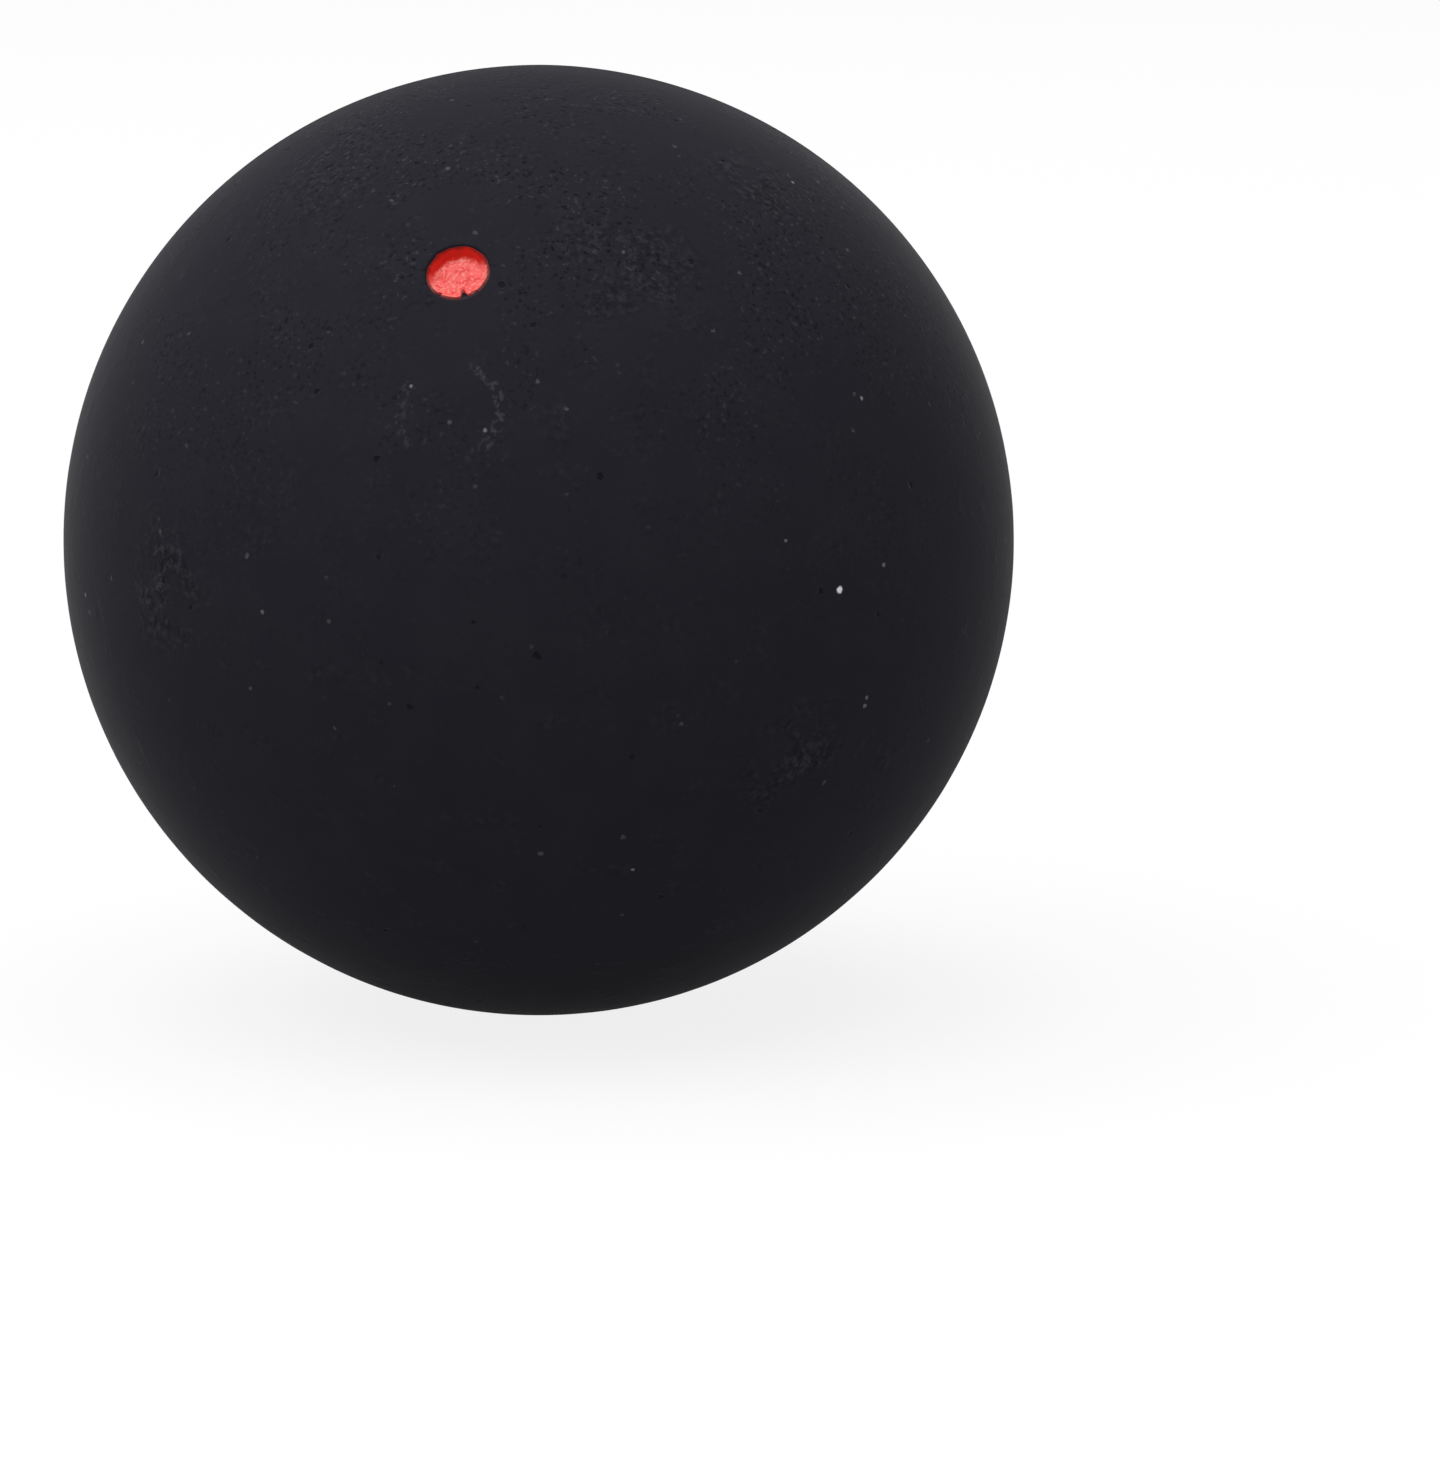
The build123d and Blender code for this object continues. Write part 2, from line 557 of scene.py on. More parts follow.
@dataclass(frozen=True)
class RubberFinish:
    """Buffed matte black rubber, with torn patches, a witness ring and dust; its crumbs and grains carry
    painted highlight and shade, the dust grains' strongest on its upper side, where the light falls.
    """

    camera: PhotoCamera  # turns the marks' pixels into places
    black: Colour = (0.0200, 0.0188, 0.0250)
    bloom_and_highlight: Colour = (0.048, 0.046, 0.054)  # lighter tone of the mottled skin, and painted highlight on the tops of crumbs and dust grains
    fleck: Colour = (0.92, 0.92, 0.95)  # dust flecks
    sunk_shade: float = 0.35  # share of the black that is left as painted shade in pits, nicks and the hollows between crumbs and grains
    roughness: Span = (0.70, 0.86)
    mottle: Grain = Grain(2.4, 3.0, 0.6, depth=0.01)
    skin: Grain = Grain(0.16, 2.0, 0.6, depth=0.010)
    fine: Grain = Grain(0.07, 1.0, depth=0.004)
    crackle: Grain = Grain(0.28, 2.0, 0.6, depth=0.12)  # the crumbs of torn skin, with painted highlight on their tops and painted shade between them
    sand: Grain = Grain(0.21, 1.0, depth=0.03)  # the grains of dust, with painted highlight on their tops and painted shade between them
    tears: Grain = Grain(1.6, 3.0, 0.6)  # breaks up the torn patches
    drifts: Grain = Grain(4.5, 2.0, 0.6)  # where dust gathers
    wobble: Grain = Grain(0.12, 1.0)  # breaks up the flecks' outlines
    nicks: Spots = Spots(spacing=1.25, radius=0.17, core=0.08, luck=(0.65, 0.9), depth=0.06)
    specks: Spots = Spots(spacing=1.15, radius=0.13, core=0.05, luck=(0.5, 1.0))
    spot_wander: float = 0.125  # how far a nick's or speck's outline wanders, in millimetres
    fleck_wander: float = 0.05  # how far a fleck's outline wanders
    fleck_core: float = 0.45  # share of a fleck's radius that is at full strength
    speck_strength: float = 0.06
    dust_rise: float = 0.03  # how far dust stands up, in millimetres
    dust_and_light_heights: Span = (-8.0, 22.0)  # between these heights the dust grains and their painted highlight and shade go from none to full, in millimetres
    flecks: tuple[Mark, ...] = (
        Mark(pixel=(840, 590), radius=0.18, strength=1.0),
        Mark(pixel=(862, 398), radius=0.11, strength=0.22),
        Mark(pixel=(793, 182), radius=0.11, strength=0.20),
        Mark(pixel=(411, 386), radius=0.10, strength=0.16),
        Mark(pixel=(485, 430), radius=0.11, strength=0.16),
        Mark(pixel=(633, 870), radius=0.10, strength=0.16),
        Mark(pixel=(85, 595), radius=0.12, strength=0.15),
        Mark(pixel=(786, 541), radius=0.09, strength=0.14),
        Mark(pixel=(262, 612), radius=0.12, strength=0.10),
        Mark(pixel=(884, 565), radius=0.12, strength=0.14),
        Mark(pixel=(865, 706), radius=0.13, strength=0.14),
        Mark(pixel=(867, 698), radius=0.11, strength=0.14),
    )
    patches: tuple[Mark, ...] = (
        Mark(pixel=(630, 265), radius=3.6, strength=0.5),
        Mark(pixel=(165, 590), radius=2.8, strength=0.75),
        Mark(pixel=(790, 760), radius=2.8, strength=0.55),
        Mark(pixel=(760, 190), radius=3.2, strength=0.55),
        Mark(pixel=(330, 170), radius=4.0, strength=0.35),
    )
    ring: Mark = Mark(pixel=(449, 411), radius=2.0, strength=0.03)  # witness mark of a blanked dot

    def material(self) -> bpy.types.Material:
        """Material of both half shells."""
        material, shader = new_shader("black_rubber")
        place = shader.millimetres()
        mottle = shader.noise(place, self.mottle)
        skin = shader.noise(place, self.skin)
        fine = shader.noise(place, self.fine)
        crackle = shader.noise(place, self.crackle)
        sand = shader.noise(place, self.sand)
        torn = self.torn_mask(shader, place)
        dust_and_light = self.dust_and_light_mask(shader, place)
        uneven = skin.between(-self.spot_wander, self.spot_wander)

        # Painted highlight on the tops of the torn skin's crumbs and of the dust grains, and painted shade
        # between them
        raised_highlight = (crackle.ramp(0.52, 0.62) * torn).maximum(sand.ramp(0.64, 0.74) * dust_and_light)
        sunk = (crackle.ramp(0.48, 0.38) * torn).maximum(sand.ramp(0.40, 0.30) * dust_and_light)
        nicks = shader.strewn(place, self.nicks, uneven)
        specks = shader.strewn(place, self.specks, uneven) * self.speck_strength
        dust = specks.maximum(self.ring_mask(shader, place, crackle)).maximum(self.fleck_mask(shader, place))

        # The mottled skin's lighter tone, and the painted highlight on crumbs and grains
        tone_and_highlight = mottle.ramp(0.35, 0.75) * 0.08 + raised_highlight
        pit_shade = [part * self.sunk_shade for part in self.black]
        colour = shader.mix(tone_and_highlight, opaque(self.black), opaque(self.bloom_and_highlight))
        # Painted shade in the hollows between crumbs and grains, and in the nicks
        colour = shader.mix(sunk.maximum(nicks * 0.7), colour, opaque(pit_shade))
        colour = shader.mix(dust, colour, opaque(self.fleck))

        height = skin * self.skin.depth + fine * self.fine.depth + mottle * self.mottle.depth
        height = height + torn * crackle * self.crackle.depth + dust_and_light * sand * self.sand.depth
        height = height - nicks * self.nicks.depth + dust * self.dust_rise
        shader.principled({
            "Base Color": colour,
            "Roughness": mottle.between(*self.roughness),
            "Specular IOR Level": 0.015,
            "Sheen Weight": 0.09,
            "Sheen Roughness": 0.35,
            "Normal": shader.bump(height),
        })
        return material

    def place_of(self, mark: Mark) -> list[float]:
        """Place of a mark on the ball, in millimetres."""
        return (self.camera.on_ball(mark.pixel) / MM).tolist()

    def torn_mask(self, shader: Shader, place: Value) -> Value:
        """Where the skin is torn: soft round patches, broken up by noise, over a weak all-round layer."""
        ragged = shader.noise(place, self.tears)
        mask = ragged.ramp(0.5, 0.8) * 0.25
        for patch in self.patches:
            near = shader.distance(place, self.place_of(patch)).ramp(patch.radius * 1.25, patch.radius * 0.2)
            mask = mask.maximum(near * ragged.ramp(0.35, 0.62) * patch.strength)
        return mask

    def dust_and_light_mask(self, shader: Shader, place: Value) -> Value:
        """Where the dust grains and their painted highlight and shade show: drifts that thin out from the
        crown of the ball, where the light falls, to below its middle.
        """
        height = shader.along(place, (0.0, 0.0, 0.0), Z_AXIS.tolist())
        return shader.noise(place, self.drifts).ramp(0.38, 0.6) * height.ramp(*self.dust_and_light_heights)

    def ring_mask(self, shader: Shader, place: Value, crackle: Value) -> Value:
        """Crumbs along the witness ring: a thin shell about its centre, stronger on its right side."""
        centre = self.place_of(self.ring)
        away = shader.distance(place, centre) - self.ring.radius
        right, _, _ = self.camera.axes()
        aside = shader.along(place, centre, right.tolist())
        sides = aside.ramp(0.5, 1.2).maximum(aside.ramp(-1.3, -1.7) * 0.6)
        return away.math("ABSOLUTE").ramp(0.3, 0.1) * sides * crackle.ramp(0.48, 0.6) * self.ring.strength

    def fleck_mask(self, shader: Shader, place: Value) -> Value:
        """Dust flecks that stand on their own, the strongest kept where they meet."""
        uneven = shader.noise(place, self.wobble).between(-self.fleck_wander, self.fleck_wander)
        gaps = [shader.distance(place, self.place_of(mark)) + uneven for mark in self.flecks]
        masks = [
            gap.ramp(mark.radius, mark.radius * self.fleck_core) * mark.strength
            for gap, mark in zip(gaps, self.flecks)
        ]
        return functools.reduce(Value.maximum, masks)


@dataclass(frozen=True)
class CementFinish:
    """Cured rubber cement: the rubber's black, a little duller and more even."""

    black: Colour = (0.0140, 0.0133, 0.0172)
    scuffed: Colour = (0.025, 0.024, 0.029)  # where it was buffed with the ball
    roughness: Span = (0.66, 0.86)
    smear: Grain = Grain(1.4, 3.0, 0.6, depth=0.02)
    skin: Grain = Grain(0.12, 2.0, depth=0.012)

    def material(self) -> bpy.types.Material:
        """Material of the seam's cement."""
        material, shader = new_shader("rubber_cement")
        place = shader.millimetres()
        smear = shader.noise(place, self.smear)
        skin = shader.noise(place, self.skin)
        shader.principled({
            "Base Color": shader.mix(smear.ramp(0.4, 0.7), opaque(self.black), opaque(self.scuffed)),
            "Roughness": smear.between(*self.roughness),
            "Specular IOR Level": 0.04,
            "Sheen Weight": 0.045,
            "Sheen Roughness": 0.4,
            "Normal": shader.bump(skin * self.skin.depth + smear * self.smear.depth),
        })
        return material


@dataclass(frozen=True)
class DotPaintFinish:
    """Chalky red paint brushed into the recess, with painted shade on the upper wall under the lip, painted
    highlight on the lower wall, and thin at its edge.
    """

    centre: Point  # the floor's centre, in millimetres
    shaded_side: Point  # the direction over the dot towards the wall with painted shade, away from the wall with painted highlight
    red: Colour = (0.92, 0.146, 0.138)
    deep_red_and_shade: Colour = (0.66, 0.016, 0.009)  # darker red in the hollows of the brushed film, and painted shade on the upper wall under the lip
    pale_and_highlight: Colour = (0.97, 0.36, 0.31)  # on the dried ridges, and painted highlight on the lower wall
    thin: Colour = (0.13, 0.010, 0.010)  # at the edge, where the rubber shows through
    roughness: Span = (0.6, 0.8)
    streak: Grain = Grain(0.32, 3.0, 0.65, depth=0.04)
    crumb: Grain = Grain(0.13, 2.0, 0.6, depth=0.014)
    wander: float = 0.2  # how far the bounds between its colours wander, in millimetres

    def material(self) -> bpy.types.Material:
        """Material of the dot's paint."""
        material, shader = new_shader("red_paint")
        place = shader.millimetres()
        streak = shader.noise(place, self.streak)
        crumb = shader.noise(place, self.crumb)
        reach = shader.distance(place, self.centre) + streak.between(-self.wander, self.wander)
        high = shader.along(place, self.centre, self.shaded_side)
        wall = (reach + high * 0.2).ramp(0.98, 1.13)
        layers = (
            (streak.ramp(0.52, 0.38) * 0.5, self.deep_red_and_shade),
            (crumb.ramp(0.48, 0.66) * 0.7, self.pale_and_highlight),
            # Painted highlight on the lower wall, which faces the light
            (wall * high.ramp(0.0, -0.6) * 0.75, self.pale_and_highlight),
            # Painted shade on the upper wall, under the lip
            (wall * high.ramp(-0.25, 0.45), self.deep_red_and_shade),
            (reach.ramp(1.14, 1.30) * 0.8, self.thin),
        )
        colour = opaque(self.red)
        for cover, layer in layers:
            colour = shader.mix(cover, colour, opaque(layer))
        shader.principled({
            "Base Color": colour,
            "Roughness": crumb.between(*self.roughness),
            "Specular IOR Level": 0.1,
            "Normal": shader.bump(streak * self.streak.depth + crumb * self.crumb.depth),
        })
        return material


@dataclass(frozen=True)
class InkFinish:
    """White printing ink with pinholes and thin places where the rubber shows through."""

    white: Colour = (0.80, 0.80, 0.79)
    thin: Colour = (0.62, 0.62, 0.63)  # where it lies thin
    bare: Colour = (0.02, 0.02, 0.024)  # the rubber in the pinholes
    roughness: Span = (0.5, 0.7)
    cover: Grain = Grain(0.8, 4.0, 0.65, depth=0.01)
    skin: Grain = Grain(0.11, 2.0, 0.6, depth=0.010)
    holes: Spots = Spots(spacing=0.32, radius=0.09, core=0.04, luck=(0.62, 0.8), depth=0.02)

    def material(self) -> bpy.types.Material:
        """Material of the printed stripes."""
        material, shader = new_shader("white_ink")
        place = shader.millimetres()
        cover = shader.noise(place, self.cover)
        skin = shader.noise(place, self.skin)
        holes = shader.strewn(place, self.holes)
        colour = shader.mix(cover.ramp(0.52, 0.38), opaque(self.white), opaque(self.thin))
        colour = shader.mix(skin.ramp(0.62, 0.74) * 0.5, colour, opaque(self.thin))
        colour = shader.mix(holes, colour, opaque(self.bare))
        height = skin * self.skin.depth + cover * self.cover.depth - holes * self.holes.depth
        shader.principled({
            "Base Color": colour,
            "Roughness": skin.between(*self.roughness),
            "Specular IOR Level": 0.35,
            "Normal": shader.bump(height),
        })
        return material


# Pieces


@dataclass(frozen=True)
class BallSizes:
    """Sizes that the pieces share."""

    radius: float  # the ball's outer radius
    wall: float = 5.2 * MM  # the rubber's thickness
    bond: float = 0.2 * MM  # the cement between the two flat rims
    outer_bevel: float = 0.12 * MM  # the broken outer corner of each rim
    inner_bevel: float = 0.6 * MM  # the bevelled inner corner of each rim
    bead: float = 0.35 * MM  # how far the cement stands into the chamber

    @classmethod
    def from_frame(cls) -> "BallSizes":
        """Sizes with the radius of the seam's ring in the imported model."""
        low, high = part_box("seam_bond")
        return cls(radius=(high[0] - low[0]) / 2)

    @property
    def chamber(self) -> float:
        """Radius of the air chamber."""
        return self.radius - self.wall

    def rim_corners(self) -> np.ndarray:
        """Four corners of a rim, from outside in, as distances from the seam's axis and from its plane."""
        flat = self.bond / 2
        outer_offset = flat + self.outer_bevel
        inner_offset = flat + self.inner_bevel
        outer = math.sqrt(self.radius**2 - outer_offset**2)
        inner = math.sqrt(self.chamber**2 - inner_offset**2)
        return np.array((
            (outer, outer_offset),
            (outer - self.outer_bevel, flat),
            (inner + self.inner_bevel, flat),
            (inner, inner_offset),
        ))


@dataclass(frozen=True)
class DotRecess:
    """Dished recess for the speed dot, as a profile about its own axis."""

    sizes: BallSizes
    lift: float = math.radians(40.0)  # the axis above the level plane
    turn: float = math.radians(12.0)  # the axis round from the front, towards -X
    mouth: float = 1.35 * MM  # the mouth's radius, before its lip is rounded
    floor: float = 0.9 * MM  # the radius at which the floor meets the wall
    depth: float = 0.45 * MM  # the mouth's rim over the floor
    corner: float = 0.25 * MM  # the radius between floor and wall
    lip: float = 0.1 * MM  # the radius of the rounded lip

    def axes(self) -> Axes:
        """Directions level across the dot, up over it, and out along its axis."""
        level = math.cos(self.lift)
        out = np.array((-level * math.sin(self.turn), -level * math.cos(self.turn), math.sin(self.lift)))
        across = np.cross(Z_AXIS, out)
        across = across / np.linalg.norm(across)
        return across, np.cross(out, across), out

    @property
    def slope(self) -> float:
        """Slope of the wall against the floor."""
        return math.atan2(self.depth, self.mouth - self.floor)

    @property
    def floor_height(self) -> float:
        """Height of the floor over the ball's centre."""
        return math.sqrt(self.sizes.radius**2 - self.mouth**2) - self.depth

    def dish(self, inset: float, rise: float, floor_rows: int, wall_rows: int) -> np.ndarray:
        """Profile of the dish, or of a film on it, from the axis up the wall.

        Args:
            inset: how far the profile stands in from the bare dish.
            rise: the height over the floor at which it ends.
            floor_rows: points on the floor.
            wall_rows: points on the corner, and again on the wall.

        Returns:
            Distances from the axis and from the ball's centre: a straight floor, an arc of the
            corner's radius less the inset, and a straight wall.
        """
        radius = self.corner - inset
        bend = self.floor - inset * math.tan(self.slope / 2)
        start = bend - radius * math.tan(self.slope / 2)
        level = self.floor_height + inset
        flat = np.linspace(0.0, start, floor_rows, endpoint=False)[1:]
        angles = np.linspace(0.0, self.slope, wall_rows)
        arc = np.stack((start + radius * np.sin(angles), level + radius * (1 - np.cos(angles))), axis=-1)
        top = np.array((
            self.floor + rise / math.tan(self.slope) - inset * math.sin(self.slope),
            self.floor_height + rise + inset * math.cos(self.slope),
        ))
        share = np.linspace(0.0, 1.0, wall_rows)[1:, None]
        wall = arc[-1] * (1 - share) + top * share
        return np.vstack((np.stack((flat, np.full_like(flat, level)), axis=-1), arc, wall))

    def lip_arc(self, rows: int) -> np.ndarray:
        """Rounded lip, tangent to the wall and to the ball.

        Args:
            rows: points on the arc.

        Returns:
            Distances from the axis and from the ball's centre. The arc's centre lies one lip radius
            inside the ball and one outside the wall, which gives a quadratic for its place along
            the wall.
        """
        along = np.array((math.cos(self.slope), math.sin(self.slope)))
        into = np.array((math.sin(self.slope), -math.cos(self.slope)))
        mouth = np.array((self.mouth, self.floor_height + self.depth))
        offset = mouth + self.lip * into
        inner = self.sizes.radius - self.lip
        back = offset @ along - math.sqrt((offset @ along) ** 2 - offset @ offset + inner**2)
        centre = offset - back * along
        first = math.atan2(-into[1], -into[0])
        last = math.atan2(centre[1], centre[0])
        angles = np.linspace(first, last, rows)
        return centre + self.lip * np.stack((np.cos(angles), np.sin(angles)), axis=-1)

    def lip_start_rise(self) -> float:
        """Height over the floor at which the lip leaves the wall."""
        return float(self.lip_arc(2)[0, 1]) - self.floor_height

    def turned(self, from_axis: np.ndarray, height: np.ndarray, columns: int) -> np.ndarray:
        """Rings of points about the dot's axis.

        Args:
            from_axis: distances from the axis, by ring and column, or by ring and one for all.
            height: heights over the ball's centre, likewise.
            columns: points in each ring.

        Returns:
            Points by ring, place in the ring and axis.
        """
        across, up, out = self.axes()
        return from_axis[..., None] * spokes(across, up, columns) + height[..., None] * out


@dataclass(frozen=True)
class Relief:
    """Unevenness of the buffed skin, always inwards, so that the ball keeps its size."""

    # Lumps and depth of each layer
    layers: tuple[tuple[LumpField, float], ...] = (
        (LumpField(6.0 * MM, seed=11), 0.020 * MM),
        (LumpField(1.8 * MM, seed=12), 0.008 * MM),
        (LumpField(0.8 * MM, seed=13), 0.005 * MM),
    )

    def depth(self, points: np.ndarray) -> np.ndarray:
        """Depth of the skin below the ball's sphere at some points."""
        return np.sum([depth * lumps.at(points) for lumps, depth in self.layers], axis=0)


@dataclass
class HalfShell:
    """One rubber half shell: outer skin, rim and chamber wall as one closed surface."""

    half: Half
    sizes: BallSizes
    recess: Union[DotRecess, None] = None  # the dot recess, which its rings spread out from, or none
    relief: Relief = Relief()
    columns: int = 448  # points in each ring
    skin_rows: int = 156  # rings of the outer skin
    chamber_rows: int = 18  # rings of the chamber's wall
    bunching: float = 0.4  # how much the skin's rings crowd towards their axis, 0 for even rings
    edge_fade: float = 0.5 * MM  # how far from the rim and the lip the relief starts to fade
    sharp_angle: float = math.radians(38.0)

    def axes(self) -> Axes:
        """Axes that the rings spread out about: the dot's, or those of the half's own crown."""
        if self.recess:
            return self.recess.axes()
        return X_AXIS, Z_AXIS, self.half.value * Y_AXIS

    def skin(self, start_angle: float) -> np.ndarray:
        """Rings of the outer skin, from the lip or the crown to the rim.

        Args:
            start_angle: the angle from the ring axis to the first ring, not part of the skin.

        Returns:
            Points out + angle along great circles that leave the axis evenly all round. Each circle
            ends where its Y reaches the rim: with Y = A cos(s - f), that is s = f - acos(-c / A).
        """
        across, up, out = self.axes()
        leave = spokes(across, up, self.columns)
        side = -self.half.value
        toward, away = side * leave[:, 1], side * out[1]
        phase = np.arctan2(toward, away) % (2 * np.pi)
        rim_y = self.sizes.rim_corners()[0, 1] / self.sizes.radius
        end_angle = phase - np.arccos(-rim_y / np.hypot(toward, away))
        share = np.linspace(0.0, 1.0, self.skin_rows + 1)[1:, None]
        share = share * (1 - self.bunching + self.bunching * share)
        travel = start_angle + (end_angle - start_angle) * share
        direction = np.cos(travel)[..., None] * out + np.sin(travel)[..., None] * leave
        sphere = direction * self.sizes.radius
        fade = smooth_step(np.abs(sphere[..., 1]), rim_y * self.sizes.radius, self.edge_fade)
        fade = fade * smooth_step(travel - start_angle, 0.0, self.edge_fade / self.sizes.radius)
        return sphere - direction * (self.relief.depth(sphere) * fade)[..., None]

    def inside(self, edge: np.ndarray) -> np.ndarray:
        """Rings of the rim and of the chamber's wall, in line with the skin's last ring.

        Args:
            edge: the skin's last ring.

        Returns:
            The rim's other corners, then circles that shrink towards the chamber's pole.
        """
        level = edge * (X_AXIS + Z_AXIS)
        round_seam = level / np.linalg.norm(level, axis=-1, keepdims=True)
        corners = self.sizes.rim_corners()
        first = math.asin(corners[-1, 1] / self.sizes.chamber)
        rise = np.linspace(first, math.pi / 2, self.chamber_rows, endpoint=False)[1:]
        wall = self.sizes.chamber * np.stack((np.cos(rise), np.sin(rise)), axis=-1)
        profile = np.vstack((corners[1:], wall))[..., None, None]
        return profile[:, 0] * round_seam + profile[:, 1] * (self.half.value * Y_AXIS)

    def build(self, name: str, material: bpy.types.Material) -> None:
        """Make the shell's mesh and dress it.

        Args:
            name: the piece's name.
            material: the rubber's material, shared by both halves.
        """
        _, _, out = self.axes()
        if self.recess:
            dish = self.recess.dish(0.0, self.recess.lip_start_rise(), floor_rows=5, wall_rows=5)
            lip = self.recess.lip_arc(rows=7)
            profile = np.vstack((dish, lip[1:]))
            bottom = self.recess.turned(profile[:, [0]], profile[:, [1]], self.columns)
            start_pole = out * self.recess.floor_height
            skin = self.skin(math.atan2(lip[-1, 0], lip[-1, 1]))
            skin = np.concatenate((bottom, skin))
        else:
            start_pole = out * self.sizes.radius
            skin = self.skin(0.0)
        rings = np.concatenate((skin, self.inside(skin[-1])))
        end_pole = self.half.value * self.sizes.chamber * Y_AXIS
        mesh = RingSurface(rings, (start_pole, end_pole)).mesh(name, self.sharp_angle)
        node = f"{self.half.name.lower()}_half_shell"
        add_piece(name, mesh, material, node)


@dataclass
class SeamBond:
    """Ring of cured cement between the rims: flush outside, beaded into the chamber."""

    sizes: BallSizes
    columns: int = 448  # points round the ring
    strip_points: int = 9  # points across the strip that shows on the ball
    bead_points: int = 13  # points over the bead
    sink: float = 0.02 * MM  # how far the cured strip shrinks below the ball at most
    lumps: LumpField = LumpField(1.5 * MM, seed=31)  # where it shrinks more or less
    sharp_angle: float = math.radians(30.0)

    def profile(self) -> np.ndarray:
        """Closed section, as distances from the seam's axis and from its plane.

        A strip on the ball's circle, the rear rim's corners, an arc that bulges into the chamber by
        the bead's height, and the front rim's corners on the way back.
        """
        corners = self.sizes.rim_corners()
        reach = math.asin(corners[0, 1] / self.sizes.radius)
        angles = np.linspace(-reach, reach, self.strip_points)
        strip = self.sizes.radius * np.stack((np.cos(angles), np.sin(angles)), axis=-1)
        share = np.linspace(-1.0, 1.0, self.bead_points)[::-1]
        low = self.sizes.chamber - self.sizes.bead
        bead = np.stack((low + (corners[-1, 0] - low) * share**2, corners[-1, 1] * share), axis=-1)
        front = corners[1:-1][::-1] * (1.0, -1.0)
        return np.vstack((strip, corners[1:-1], bead, front))

    def build(self, finish: CementFinish) -> None:
        """Make the ring's mesh, with the strip sunk unevenly, and dress it."""
        profile = self.profile()[..., None, None]
        rings = profile[:, 0] * spokes(X_AXIS, Z_AXIS, self.columns) + profile[:, 1] * Y_AXIS
        strip = rings[:self.strip_points]
        edge = self.sizes.rim_corners()[0, 1]
        middle = 1 - (strip[..., 1] / edge) ** 2
        sink = self.sink * middle * self.lumps.at(strip)
        strip[..., [0, 2]] *= (1 - sink / self.sizes.radius)[..., None]
        mesh = RingSurface(rings).mesh("seam_line", self.sharp_angle)
        add_piece("seam_line", mesh, finish.material(), "seam_bond")


@dataclass(frozen=True)
class Chip:
    """A chip out of the paint's edge."""

    angle: float  # where it is, round from level across the dot
    width: float  # half the angle that it spans
    depth: float  # how far it reaches in from the edge


@dataclass
class DotPaint:
    """Film of paint in the dot recess, uneven as it was brushed in, with a chipped edge."""

    recess: DotRecess  # the recess that it lines
    thickness: float = 0.1 * MM
    margin: float = 0.03 * MM  # bare wall between its edge and the lip
    ragged: float = 0.08 * MM  # how far its edge wanders down the wall
    edge_lumps: LumpField = LumpField(0.16, seed=41)  # along the edge, as a circle of radius 1
    edge_shift: float = 3.0  # where that circle stands in its field
    brushed: float = 0.05 * MM  # how uneven its surface is
    brush_lumps: LumpField = LumpField(0.33 * MM, seed=43)
    chips: tuple[Chip, ...] = (
        Chip(angle=math.radians(-70.0), width=math.radians(10.0), depth=0.74 * MM),
        Chip(angle=math.radians(-121.0), width=math.radians(5.0), depth=0.25 * MM),
        Chip(angle=math.radians(-50.0), width=math.radians(6.0), depth=0.30 * MM),
    )
    shade_lean: float = math.radians(20.0)  # how far the side with painted shade leans from straight up towards -X
    columns: int = 384  # points round the film
    sharp_angle: float = math.radians(50.0)

    def edge_drop(self) -> np.ndarray:
        """How far the edge lies in from its highest line, for each column.

        A wander all round, and a bell exp(-t^4) for each chip, where t is the angle from its middle
        over its width.
        """
        angles = round_angles(self.columns)
        circle = spokes(X_AXIS, Y_AXIS, self.columns)
        drop = self.ragged * self.edge_lumps.at(circle + self.edge_shift)
        for chip in self.chips:
            off_chip = (angles - chip.angle + np.pi) % (2 * np.pi) - np.pi
            drop = np.maximum(drop, chip.depth * np.exp(-((off_chip / chip.width) ** 4)))
        return drop

    def film(self, inset: float, rows: int) -> np.ndarray:
        """Rings of one side of the film, from near the axis to the ragged edge.

        Args:
            inset: how far this side stands in from the bare dish.
            rows: how many rings there are.

        Returns:
            Points by ring, column and axis: on each column the dish's profile is walked in even
            steps, up to its length less the edge's drop there.
        """
        top_rise = self.recess.lip_start_rise() - self.margin * math.sin(self.recess.slope)
        dish = self.recess.dish(inset, top_rise, floor_rows=4, wall_rows=12)
        profile = np.vstack(((0.0, dish[0, 1]), dish))
        steps = np.linalg.norm(np.diff(profile, axis=0), axis=-1)
        walked = np.concatenate(((0.0,), np.cumsum(steps)))
        share = np.linspace(0.0, 1.0, rows + 1)[1:, None]
        wanted = share * (walked[-1] - self.edge_drop())
        from_axis = np.interp(wanted, walked, profile[:, 0])
        height = np.interp(wanted, walked, profile[:, 1])
        return self.recess.turned(from_axis, height, self.columns)

    def build(self) -> None:
        """Make the film's mesh and dress it."""
        across, up, out = self.recess.axes()
        surface = self.film(self.thickness, rows=30)
        unevenness = self.brushed * (self.brush_lumps.at(surface) - 0.5)
        surface = surface + unevenness[..., None] * out
        underside = self.film(0.0, rows=12)[::-1]
        floor = self.recess.floor_height
        poles = (out * (floor + self.thickness), out * floor)
        mesh = RingSurface(np.concatenate((surface, underside)), poles).mesh("red_dot", self.sharp_angle)
        # Direction towards the wall with painted shade
        shaded_side = math.cos(self.shade_lean) * up - math.sin(self.shade_lean) * across
        finish = DotPaintFinish(tuple(out * floor / MM), tuple(shaded_side))
        add_piece("red_dot", mesh, finish.material(), "dot_paint")


